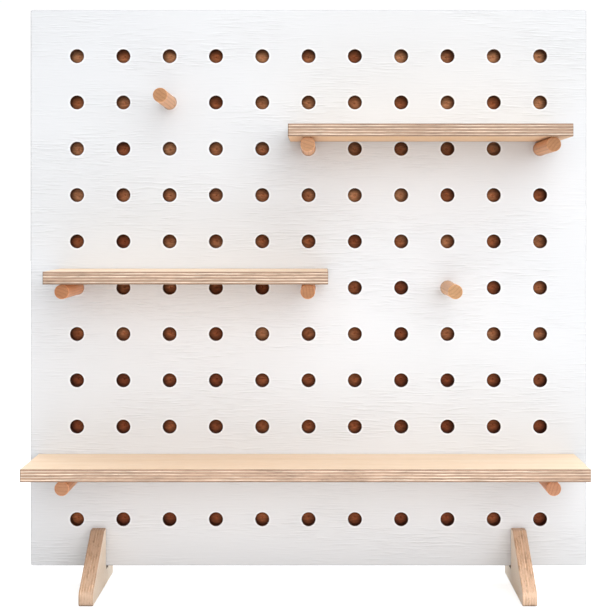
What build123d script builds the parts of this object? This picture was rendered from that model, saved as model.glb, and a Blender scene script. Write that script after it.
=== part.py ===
"""Free-standing pegboard tool wall: a drilled board, two slotted feet, eight dowel pegs and three loose shelves."""

import os

from build123d import *

os.makedirs("parts", exist_ok=True)

# The frame, in millimetres: floor at Z = 0, the board's middle at X = 0, and the front faces -Y.

# Board
BOARD_WIDTH = 600.0
BOARD_HEIGHT = 600.0
BOARD_THICKNESS = 18.0
BOARD_CORNER_RADIUS = 2.0
BOARD_EDGE_RADIUS = 1.0
BOARD_BOTTOM_Z = 20.5
FACE_Y = 26.15

# Peg holes: a square grid of blind holes, each with an eased rim and the drill's centre mark in its floor
HOLE_PITCH = 50.0
HOLES_PER_SIDE = 11
HOLE_RADIUS = 7.5
HOLE_DEPTH = 14.0
RIM_CHAMFER = 0.5
CENTRE_MARK_RADIUS = 1.5
CENTRE_MARK_DEPTH = 1.2

# Pegs: a plain dowel whose root tapers a little, so that it pushes into its hole
PEG_RADIUS = 7.43
PEG_REACH = 104.0
PEG_SEAT = 13.6
PEG_TIP_RADIUS = 0.9
PEG_ROOT_CHAMFER = 0.8
PEG_ROOT_RADIUS = 7.38
PEG_TAPER_PROUD = 0.6

# Shelves: the long one is twice the short one
SHORT_SHELF_WIDTH = 289.0
LONG_SHELF_WIDTH = 578.0
SHELF_DEPTH = 110.0
SHELF_THICKNESS = 13.0
SHELF_EDGE_RADIUS = 0.6
SHELF_GAP = 0.3

# Feet
FOOT_X = 226.0
FOOT_THICKNESS = 15.0
FOOT_TOP_Z = 61.3
FOOT_FRONT_REACH = 101.0
FOOT_REAR_REACH = 58.0
FOOT_TOP_FLAT = 13.8
TOE_HEIGHT = 13.5
SLOT_PLAY = 0.3
SLOT_MOUTH_CHAMFER = 1.0
SEAT_GAP = 0.1
SEAT_WIDTH = 2.1
RELIEF_DEPTH = 4.0
RELIEF_RADIUS = 1.5
TOE_TOP_RADIUS = 7.0
TOE_BOTTOM_RADIUS = 3.0
FOOT_TOP_RADIUS = 7.0
FOOT_REAR_RADIUS = 8.0
FOOT_EDGE_RADIUS = 1.2

BOARD_CENTRE_Z = BOARD_BOTTOM_Z + BOARD_HEIGHT / 2


def hole_x(column):
    """X of a column of holes, counted from 0 at the left."""
    return (column - (HOLES_PER_SIDE - 1) / 2) * HOLE_PITCH


def hole_z(row):
    """Z of a row of holes, counted from 0 at the top."""
    return BOARD_CENTRE_Z + ((HOLES_PER_SIDE - 1) / 2 - row) * HOLE_PITCH


def front_plane(x, y, z):
    """A plane whose normal points out of the front, with X to the right and Z up."""
    return Plane(origin=(x, y, z), x_dir=(1, 0, 0), z_dir=(0, -1, 0))


# The shape that one drilled hole removes, with its mouth at Z = 0 and its depth along -Z
with BuildPart() as hole_cutter:
    with BuildSketch(Plane.XZ):
        with BuildLine():
            Polyline(
                (0, RIM_CHAMFER),
                (HOLE_RADIUS + 2 * RIM_CHAMFER, RIM_CHAMFER),
                (HOLE_RADIUS, -RIM_CHAMFER),
                (HOLE_RADIUS, -HOLE_DEPTH),
                (CENTRE_MARK_RADIUS, -HOLE_DEPTH),
                (0, -HOLE_DEPTH - CENTRE_MARK_DEPTH),
                close=True,
            )
        make_face()
    revolve(axis=Axis.Z)

# The board: a square panel with small corner radii, eased edges and the grid of holes in its front
with BuildPart() as board:
    with BuildSketch(front_plane(0, FACE_Y, BOARD_CENTRE_Z)):
        RectangleRounded(BOARD_WIDTH, BOARD_HEIGHT, BOARD_CORNER_RADIUS)
    extrude(amount=-BOARD_THICKNESS)
    rims = board.edges().group_by(Axis.Y)
    fillet(rims[0] + rims[-1], BOARD_EDGE_RADIUS)
    with Locations(front_plane(0, FACE_Y, BOARD_CENTRE_Z)):
        with GridLocations(HOLE_PITCH, HOLE_PITCH, HOLES_PER_SIDE, HOLES_PER_SIDE):
            add(hole_cutter.part, mode=Mode.SUBTRACT)
board.part.label = "board"
export_step(board.part, "parts/board.step")

# The pegs: one plain dowel each, chamfered where it enters the board and eased at its tip
PEG_LENGTH = PEG_SEAT + PEG_REACH
TAPER_LENGTH = PEG_SEAT + PEG_TAPER_PROUD
PEGS = (
    ("peg_free_upper", 2, 1),
    ("peg_free_right", 8, 5),
    ("peg_upper_shelf_left", 5, 2),
    ("peg_upper_shelf_right", 10, 2),
    ("peg_middle_shelf_left", 0, 5),
    ("peg_middle_shelf_right", 5, 5),
    ("peg_long_shelf_left", 0, 9),
    ("peg_long_shelf_right", 10, 9),
)
for name, column, row in PEGS:
    with BuildPart() as peg:
        with BuildSketch(Plane.XZ):
            with BuildLine():
                Polyline(
                    (0, 0),
                    (PEG_ROOT_RADIUS - PEG_ROOT_CHAMFER, 0),
                    (PEG_ROOT_RADIUS, PEG_ROOT_CHAMFER),
                    (PEG_RADIUS, TAPER_LENGTH),
                    (PEG_RADIUS, PEG_LENGTH),
                    (0, PEG_LENGTH),
                    close=True,
                )
            make_face()
        revolve(axis=Axis.Z)
        fillet(peg.edges().group_by(Axis.Z)[-1], PEG_TIP_RADIUS)
    root_plane = front_plane(hole_x(column), FACE_Y + PEG_SEAT, hole_z(row))
    placed_peg = root_plane.location * peg.part
    placed_peg.label = name
    export_step(placed_peg, f"parts/{name}.step")

# The shelves: plain plywood panels that lie on top of a pair of pegs, with their backs to the board
SHELVES = (
    ("shelf_upper_right", SHORT_SHELF_WIDTH, 124.4, 2),
    ("shelf_middle_left", SHORT_SHELF_WIDTH, -123.8, 5),
    ("shelf_long", LONG_SHELF_WIDTH, -2.3, 9),
)
for name, width, centre_x, row in SHELVES:
    underside_z = hole_z(row) + PEG_RADIUS + SHELF_GAP
    back_y = FACE_Y - SHELF_GAP
    with BuildPart() as shelf:
        with BuildSketch(Plane.XY.offset(underside_z)):
            with Locations((centre_x, back_y - SHELF_DEPTH / 2)):
                Rectangle(width, SHELF_DEPTH)
        extrude(amount=SHELF_THICKNESS)
        fillet(shelf.edges(), SHELF_EDGE_RADIUS)
    shelf.part.label = name
    export_step(shelf.part, f"parts/{name}.step")

# The feet: a wedge-shaped profile with a slot for the board's lower edge, which sits on two narrow ledges over a relief
slot_y = FACE_Y + BOARD_THICKNESS / 2
slot_width = BOARD_THICKNESS + 2 * SLOT_PLAY
slot_floor_z = BOARD_BOTTOM_Z - SEAT_GAP
slot_height = FOOT_TOP_Z - slot_floor_z
relief_width = slot_width - 2 * SEAT_WIDTH
relief_floor_z = BOARD_BOTTOM_Z - RELIEF_DEPTH
toe_y = FACE_Y - FOOT_FRONT_REACH
heel_y = FACE_Y + FOOT_REAR_REACH
FEET = (("foot_left", -FOOT_X), ("foot_right", FOOT_X))
for name, centre_x in FEET:
    with BuildPart() as foot:
        with BuildSketch(Plane.YZ.offset(centre_x - FOOT_THICKNESS / 2)) as profile:
            with BuildLine():
                Polyline(
                    (toe_y, 0),
                    (toe_y, TOE_HEIGHT),
                    (FACE_Y - FOOT_TOP_FLAT, FOOT_TOP_Z),
                    (heel_y, FOOT_TOP_Z),
                    (heel_y, 0),
                    close=True,
                )
            make_face()
            fillet(profile.vertices().group_by(Axis.Y)[0], TOE_BOTTOM_RADIUS)
            toe_corner = profile.vertices().group_by(Axis.Y)[2]
            fillet(toe_corner, TOE_TOP_RADIUS)
            front_top_corner = profile.vertices().group_by(Axis.Y)[-1].sort_by(Axis.X)[0]
            fillet(front_top_corner, FOOT_TOP_RADIUS)
            rear_top_corner = profile.vertices().group_by(Axis.Y)[-1].sort_by(Axis.X)[-1]
            fillet(rear_top_corner, FOOT_REAR_RADIUS)
        extrude(amount=FOOT_THICKNESS)
        sides = foot.faces().filter_by(Axis.X)
        fillet(sides.edges(), FOOT_EDGE_RADIUS)
        with BuildSketch(Plane.YZ.offset(centre_x - FOOT_THICKNESS / 2)):
            with Locations((slot_y, slot_floor_z + slot_height / 2)):
                Rectangle(slot_width, slot_height)
            with Locations((slot_y, relief_floor_z + RELIEF_DEPTH)):
                RectangleRounded(relief_width, 2 * RELIEF_DEPTH, RELIEF_RADIUS)
        extrude(amount=FOOT_THICKNESS, mode=Mode.SUBTRACT)
        slot_walls = foot.edges().filter_by(Axis.X).group_by(Axis.Z)[-1].sort_by(Axis.Y)
        mouth_edges = slot_walls.filter_by(lambda edge: abs(edge.center().Y - slot_y) < slot_width)
        chamfer(mouth_edges, SLOT_MOUTH_CHAMFER)
    foot.part.label = name
    export_step(foot.part, f"parts/{name}.step")
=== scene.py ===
"""Looks of the free-standing pegboard tool wall: its paint, plywood and dowel materials, light and camera."""

import math

import bmesh
import bpy
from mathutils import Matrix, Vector


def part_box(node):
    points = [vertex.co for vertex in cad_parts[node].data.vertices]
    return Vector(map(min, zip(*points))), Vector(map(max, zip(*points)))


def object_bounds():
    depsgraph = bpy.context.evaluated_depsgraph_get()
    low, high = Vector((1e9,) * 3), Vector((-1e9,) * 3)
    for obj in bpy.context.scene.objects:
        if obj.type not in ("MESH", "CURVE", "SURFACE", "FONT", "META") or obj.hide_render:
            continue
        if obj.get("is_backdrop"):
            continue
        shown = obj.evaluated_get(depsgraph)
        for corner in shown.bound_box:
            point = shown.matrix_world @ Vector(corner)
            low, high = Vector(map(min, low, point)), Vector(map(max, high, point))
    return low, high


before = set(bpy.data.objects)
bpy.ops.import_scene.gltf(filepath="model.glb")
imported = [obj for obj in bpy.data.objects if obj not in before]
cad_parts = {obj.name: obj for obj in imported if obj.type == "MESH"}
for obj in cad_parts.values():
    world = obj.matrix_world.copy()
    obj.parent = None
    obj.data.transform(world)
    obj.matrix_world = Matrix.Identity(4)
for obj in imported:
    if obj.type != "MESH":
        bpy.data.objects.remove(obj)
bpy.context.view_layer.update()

MM = 0.001

# The board, read from the frame
BOARD_LOW, BOARD_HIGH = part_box("board")
FACE_Y = BOARD_LOW.y
BOARD_THICKNESS = BOARD_HIGH.y - BOARD_LOW.y
BOARD_CENTRE_Z = (BOARD_LOW.z + BOARD_HIGH.z) / 2
HOLES_PER_SIDE = 11
HOLE_PITCH = (BOARD_HIGH.x - BOARD_LOW.x) / (HOLES_PER_SIDE + 1)
HOLE_RADIUS = 7.5 * MM

# Plywood: how many plies each panel has
SHELF_PLIES = 9
FOOT_PLIES = 11
BOARD_PLIES = 13


def srgb(r, g, b):
    """Linear colour from 0-255 display values."""
    def linear(value):
        v = value / 255
        return v / 12.92 if v <= 0.04045 else ((v + 0.055) / 1.055) ** 2.4
    return (linear(r), linear(g), linear(b))


# Paint, and the bare wood that it leaves in the holes, whose walls and rims have some shade painted in
PAINT_WHITE = srgb(211, 213, 216)
SPECK_GREY = srgb(140, 138, 134)
HOLE_WOOD = ((0.30, srgb(134, 68, 38)), (0.50, srgb(162, 94, 56)), (0.70, srgb(192, 134, 94)))
# Painted light and shade on the ridges of the paint's grain, and painted shade in its furrows
RIDGE_PAINTED_LIGHT_AND_SHADE = 0.065
FURROW_PAINTED_SHADE = 0.024
# Painted shade on the board's eased outer edges
EDGE_PAINTED_SHADE = 0.88
# Painted highlight round each hole's mouth
MOUTH_PAINTED_HIGHLIGHT = 0.15
CENTRE_LIGHT, RIM_SHADE = 1.30, 0.58
WALL_SHADE = 0.34

# Plywood: the tones of its plies, glue lines and two faces; under is the painted-in shade of an underside
SHELF_TONES = {
    "dark": srgb(160, 132, 112),
    "light": srgb(236, 218, 198),
    "glue": srgb(92, 68, 55),
    "warm": srgb(174, 144, 122),
    "face": srgb(246, 222, 194),
    "face_dark": srgb(241, 215, 184),
    "face_light": srgb(249, 228, 204),
    "under": (0.80, 0.66, 0.54),
}
FOOT_TONES = {
    "dark": srgb(194, 160, 132),
    "light": srgb(224, 198, 174),
    "glue": srgb(150, 114, 88),
    "warm": srgb(208, 177, 152),
    "face": srgb(250, 234, 215),
    "face_dark": srgb(245, 226, 205),
    "face_light": srgb(252, 238, 222),
}

# Shade that is painted in, because the studio light alone leaves these places too bright
LOWER_ARRIS_LOSS = 0.58
UPPER_ARRIS_LOSS = 0.20
RELIEF_DEPTH = 4.2 * MM
RELIEF_LOSS = 0.82

# Pegs: where each one's pith lay (angle, and distance in mm) and its pale and deep tones
PEG_TONES = {
    "peg_free_upper": (0.9, 46, srgb(222, 170, 126), srgb(208, 150, 106)),
    "peg_free_right": (2.2, 30, srgb(228, 180, 134), srgb(214, 160, 114)),
    "peg_upper_shelf_left": (4.4, 60, srgb(224, 172, 132), srgb(212, 156, 114)),
    "peg_upper_shelf_right": (5.6, 38, srgb(210, 156, 114), srgb(194, 138, 96)),
    "peg_middle_shelf_left": (1.2, 52, srgb(208, 148, 108), srgb(194, 130, 88)),
    "peg_middle_shelf_right": (3.3, 34, srgb(208, 150, 110), srgb(194, 134, 92)),
    "peg_long_shelf_left": (1.5, 44, srgb(208, 154, 118), srgb(190, 134, 98)),
    "peg_long_shelf_right": (2.8, 40, srgb(214, 156, 122), srgb(198, 138, 102)),
}
RING_WIDTH = 3.4 * MM
# Painted shade that darkens each peg's cut tip
TIP_SHADE = 0.63

# The floor looks white, but only its plain reflection lights the object
FLOOR_REACH = 14.0
FLOOR_TONE = 0.42
FLOOR_GLOW = 0.75

# The surroundings: what the camera sees, and the lobes of light that add up to what the object is lit by.
# Each lobe has the axis it follows, the directions between which it rises, and its strength before and after.
SKY_SEEN = 1.02
SKY_LOBES = (
    (1, -0.6, -1.0, 0.0, 2.45),
    (1, 0.0, 0.7, 0.0, 1.35),
    (0, 0.0, 0.8, 0.0, 0.50),
    (2, 0.55, 1.00, 0.0, 1.70),
)

# Soft boxes (name, direction from the board's middle, watts), which are all of one size and distance
SOFT_BOXES = (
    ("key", (0.42, -1.0, 0.23), 16.5),
    ("high_key", (0.35, -0.7, 0.75), 11.0),
)
SOFT_BOX_WIDTH, SOFT_BOX_HEIGHT = 1.7, 1.4
SOFT_BOX_DISTANCE = 2.6

# The card on the floor in front, which sends light up
BOUNCE_WIDTH, BOUNCE_DEPTH = 0.7, 0.6
BOUNCE_PLACE = (0.0, -0.40, 2 * MM)
BOUNCE_WATTS = 2.0

# The camera looks straight along +Y; its shift frames the object
CAMERA_PLACE = (0.01344, -1.72385, 0.3925)
CAMERA_SHIFT = (-0.0262, -0.1377)
CAMERA_LENS = 95.67
CAMERA_SENSOR = 36.0
CAMERA_REACH = 60.0


class Graph:
    """A small helper that adds nodes to a material and wires them."""

    def __init__(self, name):
        self.material = bpy.data.materials.new(name)
        self.material.use_nodes = True
        self.tree = self.material.node_tree
        self.tree.nodes.clear()
        self.out = self.tree.nodes.new("ShaderNodeOutputMaterial")
        self.shader = self.tree.nodes.new("ShaderNodeBsdfPrincipled")
        self.tree.links.new(self.shader.outputs["BSDF"], self.out.inputs["Surface"])
        self.object = self.tree.nodes.new("ShaderNodeTexCoord").outputs["Object"]
        self.normal = self.tree.nodes.new("ShaderNodeNewGeometry").outputs["Normal"]

    def put(self, socket, value):
        """Sets a socket to a number or colour, or links an output to it."""
        if isinstance(value, bpy.types.NodeSocket):
            self.tree.links.new(value, socket)
        elif isinstance(value, tuple) and socket.type == "RGBA":
            socket.default_value = (*value, 1.0)
        else:
            socket.default_value = value

    def math(self, operation, a, b=0.0, c=0.0):
        node = self.tree.nodes.new("ShaderNodeMath")
        node.operation = operation
        for socket, value in zip(node.inputs, (a, b, c)):
            self.put(socket, value)
        return node.outputs[0]

    def split(self, vector):
        node = self.tree.nodes.new("ShaderNodeSeparateXYZ")
        self.put(node.inputs[0], vector)
        return node.outputs

    def join(self, x, y, z):
        node = self.tree.nodes.new("ShaderNodeCombineXYZ")
        for socket, value in zip(node.inputs, (x, y, z)):
            self.put(socket, value)
        return node.outputs[0]

    def scaled(self, vector, scale, shift=(0.0, 0.0, 0.0)):
        node = self.tree.nodes.new("ShaderNodeMapping")
        self.put(node.inputs["Vector"], vector)
        node.inputs["Scale"].default_value = scale
        node.inputs["Location"].default_value = shift
        return node.outputs[0]

    def noise(self, vector, detail=2.0, roughness=0.5, distortion=0.0):
        node = self.tree.nodes.new("ShaderNodeTexNoise")
        self.put(node.inputs["Vector"], vector)
        node.inputs["Scale"].default_value = 1.0
        node.inputs["Detail"].default_value = detail
        node.inputs["Roughness"].default_value = roughness
        node.inputs["Distortion"].default_value = distortion
        return node.outputs[0]

    def cells(self, vector, output="Distance"):
        node = self.tree.nodes.new("ShaderNodeTexVoronoi")
        self.put(node.inputs["Vector"], vector)
        node.inputs["Scale"].default_value = 1.0
        return node.outputs[output]

    def ramp(self, value, stops):
        """Maps a value through (position, grey or colour) stops."""
        node = self.tree.nodes.new("ShaderNodeValToRGB")
        self.put(node.inputs[0], value)
        ramp = node.color_ramp
        while len(ramp.elements) < len(stops):
            ramp.elements.new(1.0)
        for stop, (position, colour) in zip(ramp.elements, stops):
            stop.position = position
            rgb = colour if isinstance(colour, tuple) else (colour, colour, colour)
            stop.color = (*rgb, 1.0)
        return node.outputs[0]

    def between(self, value, low, high, to_low=0.0, to_high=1.0):
        """Maps low..high to to_low..to_high with soft ends, clamped."""
        node = self.tree.nodes.new("ShaderNodeMapRange")
        node.interpolation_type = "SMOOTHSTEP"
        self.put(node.inputs["Value"], value)
        node.inputs["From Min"].default_value = low
        node.inputs["From Max"].default_value = high
        node.inputs["To Min"].default_value = to_low
        node.inputs["To Max"].default_value = to_high
        return node.outputs[0]

    def mix(self, factor, a, b, blend="MIX"):
        node = self.tree.nodes.new("ShaderNodeMix")
        node.data_type = "RGBA"
        node.blend_type = blend
        self.put(node.inputs[0], factor)
        for socket, value in zip(node.inputs[6:8], (a, b)):
            self.put(socket, value)
        return node.outputs[2]

    def shade(self, colour, factor):
        """Multiplies a colour by a grey value that may be above 1."""
        grey = self.join(factor, factor, factor)
        node = self.tree.nodes.new("ShaderNodeVectorMath")
        node.operation = "MULTIPLY"
        self.put(node.inputs[0], colour)
        self.put(node.inputs[1], grey)
        return node.outputs[0]

    def add(self, a, b):
        node = self.tree.nodes.new("ShaderNodeVectorMath")
        self.put(node.inputs[0], a)
        self.put(node.inputs[1], b)
        return node.outputs[0]

    def bump(self, height, distance, strength):
        node = self.tree.nodes.new("ShaderNodeBump")
        node.inputs["Strength"].default_value = strength
        node.inputs["Distance"].default_value = distance
        self.put(node.inputs["Height"], height)
        return node.outputs[0]

    def finish(self, colour, roughness, normal=None, specular=0.3):
        """Wires the material's colour, roughness and bump, and returns it."""
        self.put(self.shader.inputs["Base Color"], colour)
        self.put(self.shader.inputs["Roughness"], roughness)
        self.shader.inputs["Specular IOR Level"].default_value = specular
        if normal is not None:
            self.put(self.shader.inputs["Normal"], normal)
        return self.material


def plies(g, across, first, pitch, tones, seed):
    """Colour of a plywood edge: brown plies at even places, pale ones at odd places, thin glue lines between.

    Each ply has its own tone, the pale ones come and go along the edge, and so do the glue lines.
    """
    place = g.math("DIVIDE", g.math("SUBTRACT", across, first), pitch)
    number = g.math("FLOOR", place)
    pair = g.math("FRACT", g.math("MULTIPLY", place, 0.5))
    pale = g.math("MULTIPLY", g.between(pair, 0.54, 0.66), g.between(pair, 0.82, 0.94, 1.0, 0.0))
    x, y, z = g.split(g.object)
    spread = g.math("MULTIPLY", g.math("ADD", x, y), 7.0)
    own = g.noise(g.join(g.math("MULTIPLY", number, 3.7), seed, spread), detail=2)
    pale = g.math("MULTIPLY", pale, g.between(own, 0.38, 0.60, 0.4, 1.0))
    ply_place = g.join(g.math("MULTIPLY", number, 5.3), seed + 9.0, g.math("MULTIPLY", spread, 0.2))
    ply_tone = g.noise(ply_place, detail=1)
    colour = g.mix(pale, tones["dark"], tones["light"])
    colour = g.shade(colour, g.between(ply_tone, 0.3, 0.7, 0.88, 1.08))
    from_seam = g.math("ABSOLUTE", g.math("SUBTRACT", g.math("FRACT", g.math("ADD", place, 0.5)), 0.5))
    fade = g.noise(g.scaled(g.object, (30, 30, 30), (seed, 0.0, seed)), detail=3)
    line = g.between(from_seam, 0.05, 0.17, 1.0, 0.0)
    seam = g.math("MULTIPLY", line, g.between(fade, 0.38, 0.60, 0.15, 0.9))
    return g.mix(seam, colour, tones["glue"])


# ---------------------------------------------------------------- materials


def paint_material():
    """White paint over a brushed grain, with bare plywood inside the drilled holes."""
    g = Graph("white_paint_finish")
    x, y, z = g.split(g.object)

    # Embossed grain: thin ridges along X that drift a little up and down, with painted light above and
    # painted shade below
    drift = g.noise(g.scaled(g.object, (9, 9, 14)), detail=2)
    grain_z = g.math("MULTIPLY_ADD", drift, 7 * MM, z)

    def ridges(rise, scale, shift):
        place = g.join(x, y, g.math("ADD", grain_z, rise))
        return g.between(g.noise(g.scaled(place, scale, shift), detail=3, roughness=0.55), 0.50, 0.66)

    long_scale, long_shift = (34, 30, 520), (0.0, 0.0, 0.0)
    raised = ridges(0.0, long_scale, long_shift)
    above = ridges(-0.45 * MM, long_scale, long_shift)
    below = ridges(0.45 * MM, long_scale, long_shift)
    lit = g.math("SUBTRACT", above, below)
    sunk = ridges(0.0, (58, 60, 760), (3.1, 0.0, 7.7))
    clusters = g.noise(g.scaled(g.object, (8, 9, 22), (1.3, 0.0, 4.2)), detail=2)
    cluster_mask = g.between(clusters, 0.38, 0.62, 0.2, 1.3)
    fine = g.noise(g.scaled(g.join(x, y, grain_z), (110, 90, 1900)), detail=2)
    relief = g.math("MULTIPLY", g.math("SUBTRACT", raised, g.math("MULTIPLY", sunk, 0.6)), cluster_mask)
    relief = g.math("MULTIPLY_ADD", fine, 0.35, relief)

    # Tone: broad soft clouding, the streaks' painted light and shade, a fine faint tone and specks of dust in
    # the paint
    cloud = g.noise(g.scaled(g.object, (5, 5, 9), (0.7, 0.0, 2.9)), detail=3)
    tone = g.between(cloud, 0.3, 0.7, 0.985, 1.01)
    tone = g.math("MULTIPLY_ADD", g.math("MULTIPLY", lit, cluster_mask), RIDGE_PAINTED_LIGHT_AND_SHADE, tone)
    tone = g.math("MULTIPLY_ADD", g.math("MULTIPLY", sunk, cluster_mask), -FURROW_PAINTED_SHADE, tone)
    tone = g.math("MULTIPLY_ADD", g.math("SUBTRACT", fine, 0.5), 0.03, tone)
    speck_space = g.scaled(g.object, (15, 15, 15), (0.37, 0.5, 0.11))
    speck = g.between(g.cells(speck_space), 0.010, 0.018, 1.0, 0.0)
    chosen = g.math("GREATER_THAN", g.split(g.cells(speck_space, "Color"))[0], 0.72)
    speck = g.math("MULTIPLY", speck, chosen)
    paint = g.shade(PAINT_WHITE, tone)
    paint = g.mix(g.math("MULTIPLY", speck, 0.55), paint, SPECK_GREY)

    # Painted shade: the paint is greyer on the eased outer edges
    from_side = g.math("SUBTRACT", BOARD_HIGH.x, g.math("ABSOLUTE", x))
    half_height = (BOARD_HIGH.z - BOARD_LOW.z) / 2
    from_end = g.math("SUBTRACT", half_height, g.math("ABSOLUTE", g.math("SUBTRACT", z, BOARD_CENTRE_Z)))
    from_edge = g.math("MINIMUM", from_side, from_end)
    painted_edge_shade = g.between(from_edge, 0.3 * MM, 1.5 * MM, EDGE_PAINTED_SHADE, 1.0)
    paint = g.shade(paint, painted_edge_shade)

    # Each hole's own coordinates
    local_x = g.math("SUBTRACT", g.math("FRACT", g.math("ADD", g.math("DIVIDE", x, HOLE_PITCH), 0.5)), 0.5)
    height = g.math("DIVIDE", g.math("SUBTRACT", z, BOARD_CENTRE_Z), HOLE_PITCH)
    local_z = g.math("SUBTRACT", g.math("FRACT", g.math("ADD", height, 0.5)), 0.5)
    radius = g.math("SQRT", g.math("ADD", g.math("POWER", local_x, 2.0), g.math("POWER", local_z, 2.0)))
    radius = g.math("MULTIPLY", radius, HOLE_PITCH / HOLE_RADIUS)

    # A painted highlight stands round each hole's mouth
    painted_mouth_highlight = g.math("MULTIPLY", g.between(radius, 0.96, 1.03), g.between(radius, 1.12, 1.34, 1.0, 0.0))
    in_field = g.math("GREATER_THAN", from_edge, HOLE_PITCH / 2)
    depth = g.math("SUBTRACT", y, FACE_Y)
    painted_mouth_highlight = g.math("MULTIPLY", g.math("MULTIPLY", painted_mouth_highlight, in_field), g.math("LESS_THAN", depth, 2 * MM))
    paint = g.shade(paint, g.math("MULTIPLY_ADD", painted_mouth_highlight, MOUTH_PAINTED_HIGHLIGHT, 1.0))

    # Bare wood in the holes: warmer or paler from hole to hole, with painted shade lower down and near the
    # wall, and cutter rings
    hole_tone = g.noise(g.scaled(g.object, (17, 0.1, 17), (5.0, 0.0, 1.0)), detail=1)
    hole_tone = g.math("ADD", hole_tone, g.between(height, -5.0, 5.0, -0.14, 0.12))
    wood = g.ramp(hole_tone, HOLE_WOOD)
    figure = g.noise(g.scaled(g.object, (160, 900, 520)), detail=3, roughness=0.65)
    wood = g.shade(wood, g.between(figure, 0.25, 0.75, 0.66, 1.22))
    sweep = g.noise(g.scaled(g.object, (60, 60, 210), (2.0, 0.0, 5.0)), detail=2, distortion=0.6)
    wood = g.shade(wood, g.between(sweep, 0.35, 0.65, 0.84, 1.12))
    rings = g.math("SINE", g.math("MULTIPLY", radius, 34.0))
    wood = g.shade(wood, g.math("MULTIPLY_ADD", rings, 0.04, 1.0))
    wall_ply = g.math("FRACT", g.math("DIVIDE", depth, 2 * BOARD_THICKNESS / BOARD_PLIES))
    wall_stops = ((0.0, 0.62), (0.05, 0.86), (0.48, 0.86), (0.53, 0.62), (0.58, 1.0), (0.95, 1.0))
    wall_tone = g.ramp(wall_ply, wall_stops)
    # Painted shade on each hole's wall; painted light in the middle of its floor and painted shade towards
    # its rim
    on_wall = g.between(radius, 0.93, 0.97)
    wall = g.shade(g.shade(wood, g.split(wall_tone)[0]), WALL_SHADE)
    wood = g.shade(wood, g.between(radius, 0.30, 0.95, CENTRE_LIGHT, RIM_SHADE))
    wood = g.mix(on_wall, wood, wall)
    scorch = g.between(g.noise(g.scaled(g.object, (420, 420, 420)), detail=2), 0.60, 0.78)
    wood = g.shade(wood, g.math("MULTIPLY_ADD", scorch, -0.16, 1.0))

    # The paint wraps the eased rim and stops, a little unevenly, just inside it
    lip = g.math("MULTIPLY_ADD", g.noise(g.scaled(g.object, (700, 100, 700)), detail=1), 0.5 * MM, 0.35 * MM)
    inside = g.math("GREATER_THAN", depth, lip)
    inside = g.math("MULTIPLY", inside, g.math("LESS_THAN", depth, BOARD_THICKNESS - 1.5 * MM))
    inside = g.math("MULTIPLY", inside, g.math("LESS_THAN", radius, 1.2))
    inside = g.math("MULTIPLY", inside, in_field)
    colour = g.mix(inside, paint, wood)
    roughness = g.math("MULTIPLY_ADD", inside, 0.22, g.between(fine, 0.2, 0.8, 0.44, 0.54))
    relief = g.math("MULTIPLY", relief, g.math("SUBTRACT", 1.0, inside))
    relief = g.math("ADD", relief, g.math("MULTIPLY", inside, g.math("MULTIPLY", figure, 0.6)))
    return g.finish(colour, roughness, g.bump(relief, 0.14 * MM, 0.8), specular=0.2)


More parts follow.
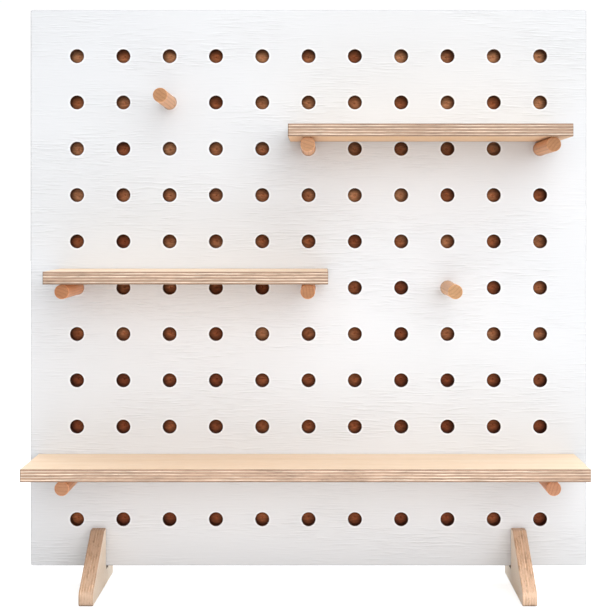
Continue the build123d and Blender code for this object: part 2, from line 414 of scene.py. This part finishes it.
def plywood_material(name, across_axis, box, count, along, tones, seed, contrast, smear, finish_edge):
    """Birch plywood: a pale veneer on the two faces and streaky, slightly wavy plies on every cut edge.

    across_axis is 0 or 2, the axis through the sheet; box is the panel's two corners; count is its plies;
    along is the (x, y, z) frequency of the streaks; contrast and smear are how strongly they show and how
    much they blur the plies; finish_edge(g, edge) adds what is particular to the panel's cut edges.
    """
    g = Graph(name)
    axes = g.split(g.object)
    low, high = box
    first = low[across_axis]
    pitch = (high[across_axis] - first) / count
    shift = (seed, seed * 1.7, seed * 0.6)

    # The plies wander a little along the edge
    sway = g.noise(g.scaled(g.object, (14, 14, 14), shift), detail=2)
    ripple = g.noise(g.scaled(g.object, (55, 55, 55), shift), detail=1)
    across = g.math("MULTIPLY_ADD", g.math("SUBTRACT", sway, 0.5), 1.3 * MM, axes[across_axis])
    across = g.math("MULTIPLY_ADD", g.math("SUBTRACT", ripple, 0.5), 0.5 * MM, across)
    edge = plies(g, across, first, pitch, tones, seed)

    # Fibres: long streaks, patches where the plies blur into one tone, and short dark pores
    streaks = g.noise(g.scaled(g.object, along, shift), detail=4, roughness=0.65)
    edge = g.shade(edge, g.between(streaks, 0.34, 0.66, 1.0 - contrast, 1.0 + contrast))
    blotch = g.noise(g.scaled(g.object, tuple(0.35 * a + 20 for a in along), shift), detail=2)
    edge = g.mix(g.between(blotch, 0.35, 0.62, 0.0, smear), edge, tones["warm"])
    pores = g.noise(g.scaled(g.object, tuple(2.2 * a + 60 for a in along), shift), detail=2, roughness=0.6)
    edge = g.shade(edge, g.between(pores, 0.58, 0.72, 1.0, 0.66))

    # The faces: straight, gently wandering birch figure with fine flecks
    face_scale = (5, 60, 60) if across_axis == 2 else (60, 22, 60)
    bend = g.noise(g.scaled(g.object, (4, 9, 9), shift), detail=1)
    figure_place = g.scaled(g.object, face_scale, shift)
    warp = g.join(g.math("MULTIPLY", bend, 1.2), g.math("MULTIPLY", bend, 1.6), 0.0)
    figure = g.noise(g.add(figure_place, warp), detail=5, roughness=0.6)
    fleck_scale = (70, 1300, 1300) if across_axis == 2 else (1300, 380, 1300)
    flecks = g.noise(g.scaled(g.object, fleck_scale, shift), detail=2, roughness=0.6)
    face = g.ramp(figure, [(0.28, tones["face_dark"]), (0.5, tones["face"]), (0.74, tones["face_light"])])
    face = g.shade(face, g.between(flecks, 0.35, 0.75, 1.02, 0.93))
    # Painted shade on a shelf's underside
    if across_axis == 2:
        downward = g.math("LESS_THAN", g.split(g.normal)[2], 0.0)
        face = g.mix(downward, face, g.mix(1.0, face, tones["under"], "MULTIPLY"))

    edge = finish_edge(g, edge)
    facing = g.math("ABSOLUTE", g.split(g.normal)[across_axis])
    on_face = g.between(facing, 0.86, 0.97)
    colour = g.mix(on_face, edge, face)
    roughness = g.between(streaks, 0.3, 0.7, 0.50, 0.62)
    relief = g.mix(on_face, streaks, g.math("MULTIPLY", flecks, 0.35))
    return g.finish(colour, roughness, g.bump(relief, 0.10 * MM, 0.5), specular=0.22)


def dowel_material(name, centre, angle, distance, pale, deep, seed):
    """Beech dowel: flecks, and growth rings round a far pith, as arcs on the tip and stripes on the side."""
    g = Graph(name)
    x, y, z = g.split(g.object)
    shift = (seed, seed * 0.4, seed * 1.3)
    pith_x = centre.x + math.cos(angle) * distance
    pith_z = centre.z + math.sin(angle) * distance
    dx = g.math("SUBTRACT", x, pith_x)
    dz = g.math("SUBTRACT", z, pith_z)
    wobble = g.noise(g.scaled(g.object, (120, 6, 120), shift), detail=2)
    radius = g.math("SQRT", g.math("ADD", g.math("POWER", dx, 2.0), g.math("POWER", dz, 2.0)))
    radius = g.math("MULTIPLY_ADD", wobble, 2.4 * MM, radius)
    ring = g.math("FRACT", g.math("DIVIDE", radius, RING_WIDTH))
    ring_tone = g.ramp(ring, [(0.0, 0.74), (0.12, 0.98), (0.60, 1.05), (0.90, 0.94), (1.0, 0.74)])
    base = g.mix(g.noise(g.scaled(g.object, (70, 7, 70), shift), detail=2), pale, deep)
    wood = g.shade(base, g.split(ring_tone)[0])

    # Flecks run along the dowel; on the cut tip the fibres show as fine grey pores
    flecks = g.noise(g.scaled(g.object, (1500, 75, 1500), shift), detail=2, roughness=0.6)
    fleck_tone = g.between(flecks, 0.58, 0.74, 1.0, 0.80)
    lines = g.noise(g.scaled(g.object, (600, 9, 600), shift), detail=3)
    side = g.shade(wood, fleck_tone)
    side = g.shade(side, g.between(lines, 0.3, 0.7, 0.94, 1.05))
    pores = g.noise(g.scaled(g.object, (2400, 2400, 2400), shift), detail=2)
    saw = g.noise(g.scaled(g.object, (90, 90, 1400), shift), detail=3)
    tip = g.shade(wood, g.between(pores, 0.35, 0.7, 1.04, 0.84))
    tip = g.shade(tip, g.between(saw, 0.3, 0.7, 0.90, 1.06))
    # Painted shade on the cut tip
    tip = g.shade(tip, TIP_SHADE)
    on_tip = g.between(g.math("ABSOLUTE", g.split(g.normal)[1]), 0.80, 0.96)
    colour = g.mix(on_tip, side, tip)
    roughness = g.math("MULTIPLY_ADD", on_tip, 0.14, 0.46)
    relief = g.mix(on_tip, flecks, pores)
    return g.finish(colour, roughness, g.bump(relief, 0.06 * MM, 0.5), specular=0.16)


def dress(node, material):
    """Gives a CAD node its material."""
    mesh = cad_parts[node].data
    mesh.materials.clear()
    mesh.materials.append(material)


def dark_arrises(low, high):
    """Paints shade onto a shelf's cut edges near its corners, most at the left and lower ones."""
    def finish(g, edge):
        axes = g.split(g.object)
        normals = g.split(g.normal)
        for axis in (0, 2):
            off_face = g.between(g.math("ABSOLUTE", normals[axis]), 0.85, 0.98, 1.0, 0.0)
            for place, loss in ((low[axis], LOWER_ARRIS_LOSS), (high[axis], UPPER_ARRIS_LOSS)):
                distance = g.math("ABSOLUTE", g.math("SUBTRACT", axes[axis], place))
                close = g.between(distance, 0.3 * MM, 1.1 * MM, loss, 0.0)
                edge = g.shade(edge, g.math("SUBTRACT", 1.0, g.math("MULTIPLY", close, off_face)))
        return edge
    return finish


def foot_edge(tone):
    """A foot's cut edges: darker towards the top, paler at the toe, dark at the floor and in the relief, all
    as painted shade.
    """
    def finish(g, edge):
        x, y, z = g.split(g.object)
        edge = g.shade(edge, g.between(z, 18 * MM, 60 * MM, tone, 0.83 * tone))
        edge = g.shade(edge, g.between(z, 0.5 * MM, 1.8 * MM, 0.45, 1.0))
        above_relief = g.math("GREATER_THAN", z, BOARD_LOW.z - RELIEF_DEPTH)
        in_relief = g.math("MULTIPLY", above_relief, g.math("LESS_THAN", z, BOARD_LOW.z))
        behind_face = g.math("GREATER_THAN", y, FACE_Y)
        in_slot = g.math("MULTIPLY", behind_face, g.math("LESS_THAN", y, FACE_Y + BOARD_THICKNESS))
        hidden = g.math("MULTIPLY", in_relief, in_slot)
        return g.shade(edge, g.math("MULTIPLY_ADD", hidden, -RELIEF_LOSS, 1.0))
    return finish


dress("board", paint_material())

for i, node in enumerate(("shelf_upper_right", "shelf_middle_left", "shelf_long")):
    low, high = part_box(node)
    shelf_ply = plywood_material(
        f"shelf_ply_{i}",
        across_axis=2,
        box=(low, high),
        count=SHELF_PLIES,
        along=(60, 60, 1200),
        tones=SHELF_TONES,
        seed=3.0 + 4 * i,
        contrast=0.24,
        smear=0.40,
        finish_edge=dark_arrises(low, high),
    )
    dress(node, shelf_ply)

# The left foot's edges are painted darker and the right foot's lighter, as painted shade and painted light
for i, (node, tone) in enumerate((("foot_left", 0.91), ("foot_right", 1.12))):
    foot_ply = plywood_material(
        f"foot_ply_{i}",
        across_axis=0,
        box=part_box(node),
        count=FOOT_PLIES,
        along=(520, 110, 110),
        tones=FOOT_TONES,
        seed=21.0 + 5 * i,
        contrast=0.20,
        smear=0.9,
        finish_edge=foot_edge(tone),
    )
    dress(node, foot_ply)

for i, (node, (angle, distance, pale, deep)) in enumerate(PEG_TONES.items()):
    low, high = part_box(node)
    dress(node, dowel_material(f"dowel_{i}", (low + high) / 2, angle, distance * MM, pale, deep, 2.0 + 3 * i))


# ---------------------------------------------------------------- stage, light and camera

def stage_floor():
    """A wide, flat, pale floor, which glows a little so that it looks white; its glow lights nothing else."""
    mesh = bpy.data.meshes.new("floor")
    shape = bmesh.new()
    for x, y in ((-1, -1), (1, -1), (1, 1), (-1, 1)):
        shape.verts.new((x * FLOOR_REACH, y * FLOOR_REACH, 0.0))
    shape.faces.new(shape.verts)
    shape.to_mesh(mesh)
    shape.free()
    floor = bpy.data.objects.new("floor", mesh)
    bpy.context.scene.collection.objects.link(floor)
    g = Graph("floor_pale")
    soft = g.noise(g.scaled(g.object, (2, 2, 2)), detail=1)
    g.put(g.shader.inputs["Emission Color"], (1.0, 1.0, 1.0))
    g.shader.inputs["Emission Strength"].default_value = FLOOR_GLOW
    tone = g.ramp(soft, [(0.0, FLOOR_TONE - 0.01), (1.0, FLOOR_TONE + 0.01)])
    floor.data.materials.append(g.finish(tone, 0.9, specular=0.0))
    lit_by_floor = bpy.data.collections.new("lit_by_floor")
    lit_by_floor.objects.link(floor)
    floor.light_linking.receiver_collection = lit_by_floor
    floor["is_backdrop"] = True


def sky():
    """Soft studio surroundings: white to the camera, and a sum of lobes of light to everything else."""
    world = bpy.data.worlds.new("studio")
    world.use_nodes = True
    tree = world.node_tree
    tree.nodes.clear()
    out = tree.nodes.new("ShaderNodeOutputWorld")
    back = tree.nodes.new("ShaderNodeBackground")
    back.inputs["Color"].default_value = (1.0, 1.0, 1.0, 1.0)
    coords = tree.nodes.new("ShaderNodeTexCoord")
    split = tree.nodes.new("ShaderNodeSeparateXYZ")
    tree.links.new(coords.outputs["Generated"], split.inputs[0])
    total = None
    for axis, start, end, low, high in SKY_LOBES:
        lobe = tree.nodes.new("ShaderNodeMapRange")
        lobe.interpolation_type = "SMOOTHSTEP"
        tree.links.new(split.outputs[axis], lobe.inputs["Value"])
        for name, value in zip(("From Min", "From Max", "To Min", "To Max"), (start, end, low, high)):
            lobe.inputs[name].default_value = value
        if total is None:
            total = lobe.outputs[0]
            continue
        add = tree.nodes.new("ShaderNodeMath")
        add.operation = "ADD"
        tree.links.new(total, add.inputs[0])
        tree.links.new(lobe.outputs[0], add.inputs[1])
        total = add.outputs[0]
    tree.links.new(total, back.inputs["Strength"])
    white = tree.nodes.new("ShaderNodeBackground")
    white.inputs["Color"].default_value = (1.0, 1.0, 1.0, 1.0)
    white.inputs["Strength"].default_value = SKY_SEEN
    choose = tree.nodes.new("ShaderNodeMixShader")
    tree.links.new(tree.nodes.new("ShaderNodeLightPath").outputs["Is Camera Ray"], choose.inputs[0])
    tree.links.new(back.outputs[0], choose.inputs[1])
    tree.links.new(white.outputs[0], choose.inputs[2])
    tree.links.new(choose.outputs[0], out.inputs[0])
    bpy.context.scene.world = world


def soft_box(name, towards, watts):
    """A large soft box that faces the middle of the board from the given direction."""
    target = Vector((0.0, FACE_Y, BOARD_CENTRE_Z))
    direction = Vector(towards).normalized()
    light = bpy.data.lights.new(name, "AREA")
    light.shape = "RECTANGLE"
    light.size = SOFT_BOX_WIDTH
    light.size_y = SOFT_BOX_HEIGHT
    light.energy = watts
    lamp = bpy.data.objects.new(name, light)
    lamp.location = target + direction * SOFT_BOX_DISTANCE
    lamp.rotation_euler = (-direction).to_track_quat("-Z", "Y").to_euler()
    bpy.context.scene.collection.objects.link(lamp)


def bounce_card():
    """Soft light from a card on the floor in front, up under the shelves; the camera doesn't see it."""
    light = bpy.data.lights.new("bounce", "AREA")
    light.shape = "RECTANGLE"
    light.size = BOUNCE_WIDTH
    light.size_y = BOUNCE_DEPTH
    light.energy = BOUNCE_WATTS
    lamp = bpy.data.objects.new("bounce", light)
    lamp.location = BOUNCE_PLACE
    lamp.rotation_euler = (math.pi, 0.0, 0.0)
    lamp.visible_camera = False
    bpy.context.scene.collection.objects.link(lamp)


def camera():
    """A long lens straight in front of the board, shifted a little down and to the left."""
    data = bpy.data.cameras.new("camera")
    data.lens = CAMERA_LENS
    data.sensor_width = CAMERA_SENSOR
    data.shift_x, data.shift_y = CAMERA_SHIFT
    data.clip_end = CAMERA_REACH
    shooter = bpy.data.objects.new("camera", data)
    shooter.location = CAMERA_PLACE
    shooter.rotation_euler = (math.radians(90), 0.0, 0.0)
    bpy.context.scene.collection.objects.link(shooter)
    bpy.context.scene.camera = shooter


stage_floor()
sky()
for name, towards, watts in SOFT_BOXES:
    soft_box(name, towards, watts)
bounce_card()
camera()

scene = bpy.context.scene
scene.view_settings.view_transform = "Standard"
scene.view_settings.look = "None"

low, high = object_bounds()
